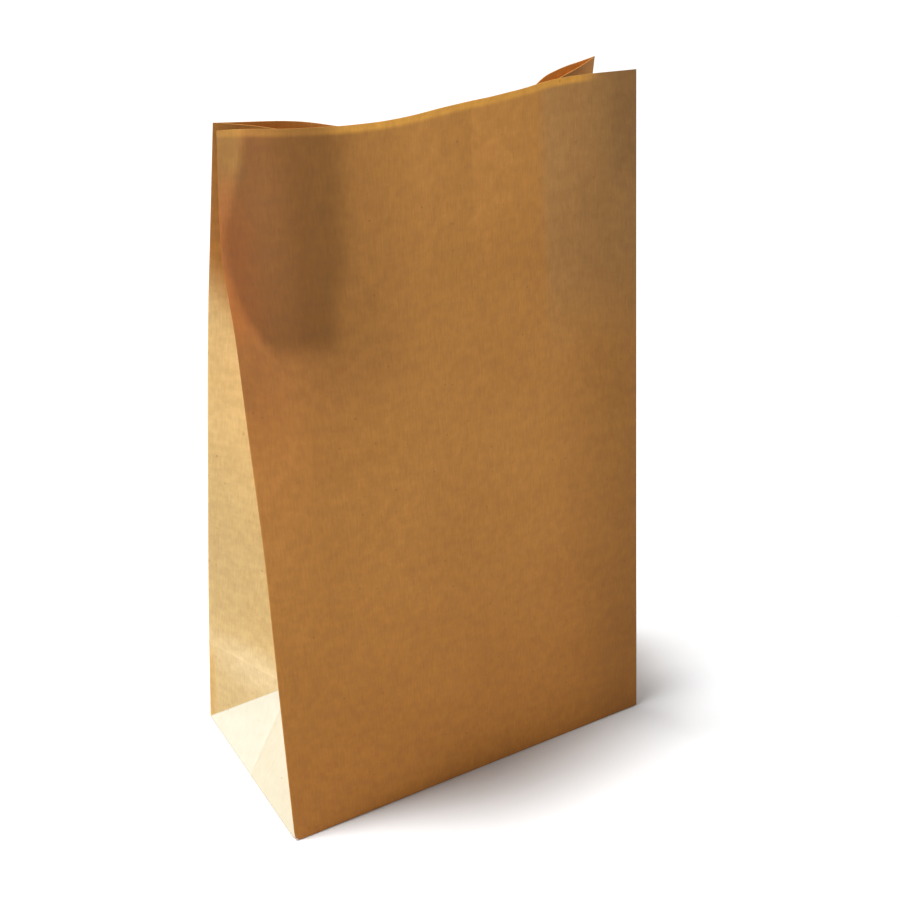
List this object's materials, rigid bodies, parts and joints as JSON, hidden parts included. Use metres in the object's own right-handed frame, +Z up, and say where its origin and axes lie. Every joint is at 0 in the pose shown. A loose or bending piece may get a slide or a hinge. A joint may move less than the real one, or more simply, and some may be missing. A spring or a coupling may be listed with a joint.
{
  "type": "brown paper lunch bag",
  "caption": "Flat-bottomed brown kraft paper lunch bag, standing open, with folded side gussets, a glued bottom and a wavy cut mouth.",
  "frame": {"origin": "middle of the flat underside, on the front bottom flap that the bag stands on", "axes": "+Z up towards the mouth, -Y out of the front panel, +X to the right as seen from the front"},
  "size_m": [0.152, 0.0802, 0.2553],
  "materials": {
    "kraft_paper": "matt unbleached kraft paper"
  },
  "bodies": {
    "root": {"paper_bag": "kraft_paper"}
  },
  "joints": []
}
